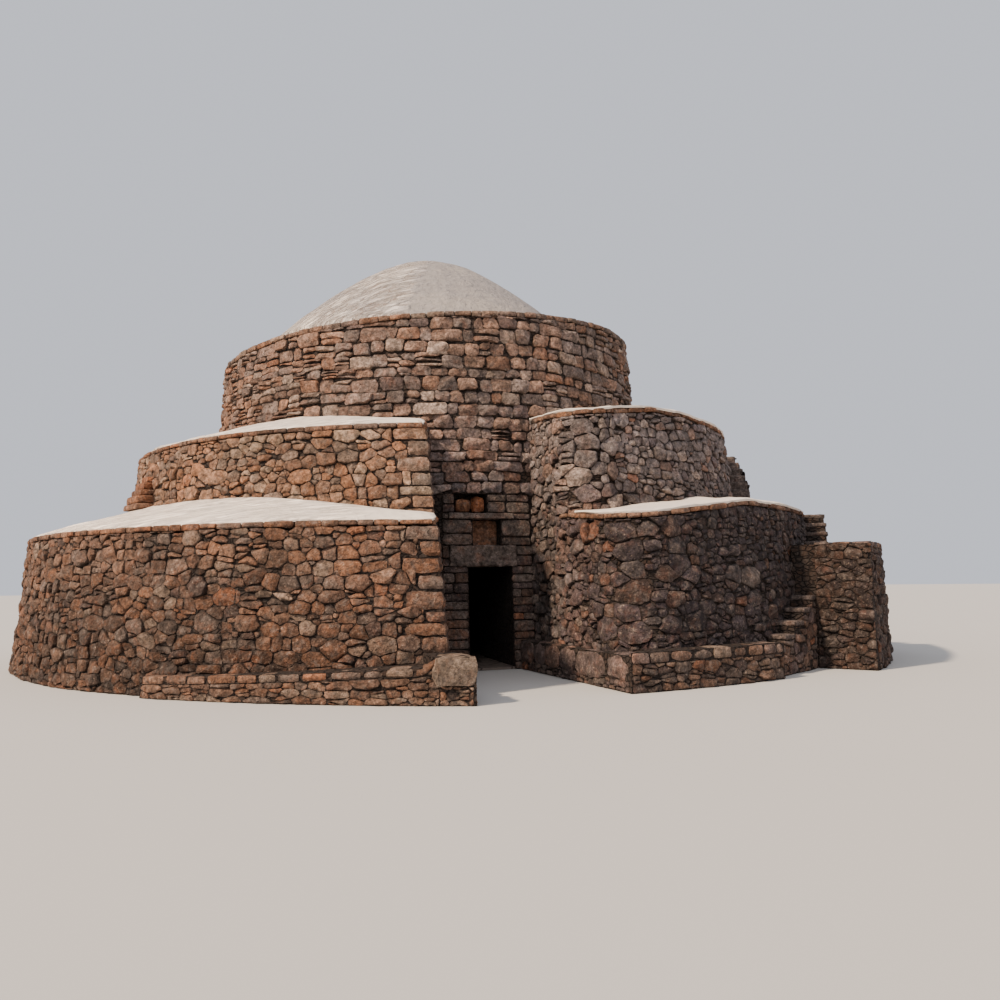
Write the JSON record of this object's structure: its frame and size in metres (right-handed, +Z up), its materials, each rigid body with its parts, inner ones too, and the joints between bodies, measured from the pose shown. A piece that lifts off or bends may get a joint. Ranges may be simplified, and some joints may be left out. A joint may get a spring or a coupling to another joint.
{
  "type": "round dry-stone trullo house",
  "caption": "Round dry-stone house with stepped terraces, a domed drum, a funnel passage, a lintelled doorway, benches and a flank stair.",
  "frame": {"origin": "on the ground at the axis of the drum, under the middle of the chamber floor", "axes": "+Z up, -Y out of the doorway along the entrance passage, +X to the right seen from the front"},
  "size_m": [17.8134, 18.1083, 9.5624],
  "materials": {
    "rubble_stone": "rough dry-laid limestone",
    "screed": "trowelled lime screed",
    "dome_plaster": "rough trowelled lime plaster",
    "coping_stone": "flat split limestone",
    "lintel_stone": "rough dressed limestone",
    "rust_stone": "iron-stained limestone",
    "floor_stone": "worn flagstone",
    "tread_stone": "worn flat limestone",
    "vault_stone": "rough corbelled limestone",
    "bench_stone": "rough limestone"
  },
  "bodies": {
    "root": {"bench_corner_block": "bench_stone", "bench_left": "bench_stone", "bench_right_front": "bench_stone", "bench_right_passage": "bench_stone", "capstone": "vault_stone", "chamber_floor": "floor_stone", "corridor_roof": "vault_stone", "corridor_wall_left": "rubble_stone", "corridor_wall_right": "rubble_stone", "dome": "dome_plaster", "door_jamb_left": "rubble_stone", "door_jamb_right": "rubble_stone", "door_lintel": "lintel_stone", "drum_coping": "coping_stone", "drum_crown": "rubble_stone", "drum_wall_front_left": "rubble_stone", "drum_wall_front_right": "rubble_stone", "drum_wall_left": "rubble_stone", "drum_wall_rear": "rubble_stone", "drum_wall_right": "rubble_stone", "lower_terrace_coping": "coping_stone", "lower_terrace_front_left": "rubble_stone", "lower_terrace_front_right": "rubble_stone", "lower_terrace_rear_left": "rubble_stone", "lower_terrace_rear_right": "rubble_stone", "lower_terrace_screed": "screed", "niche_cheek_left": "rubble_stone", "niche_cheek_right": "rubble_stone", "over_door_core": "rubble_stone", "over_door_facing": "rubble_stone", "relieving_slab": "lintel_stone", "stair_buttress": "rubble_stone", "stair_masonry": "rubble_stone", "stair_treads": "tread_stone", "upper_niche_stones": "rust_stone", "upper_steps_right": "tread_stone", "upper_terrace_coping": "coping_stone", "upper_terrace_front_left": "rubble_stone", "upper_terrace_front_right": "rubble_stone", "upper_terrace_rear_left": "rubble_stone", "upper_terrace_rear_right": "rubble_stone", "upper_terrace_screed": "screed", "vault_front": "vault_stone", "vault_left": "vault_stone", "vault_rear": "vault_stone", "vault_right": "vault_stone"}
  },
  "joints": []
}
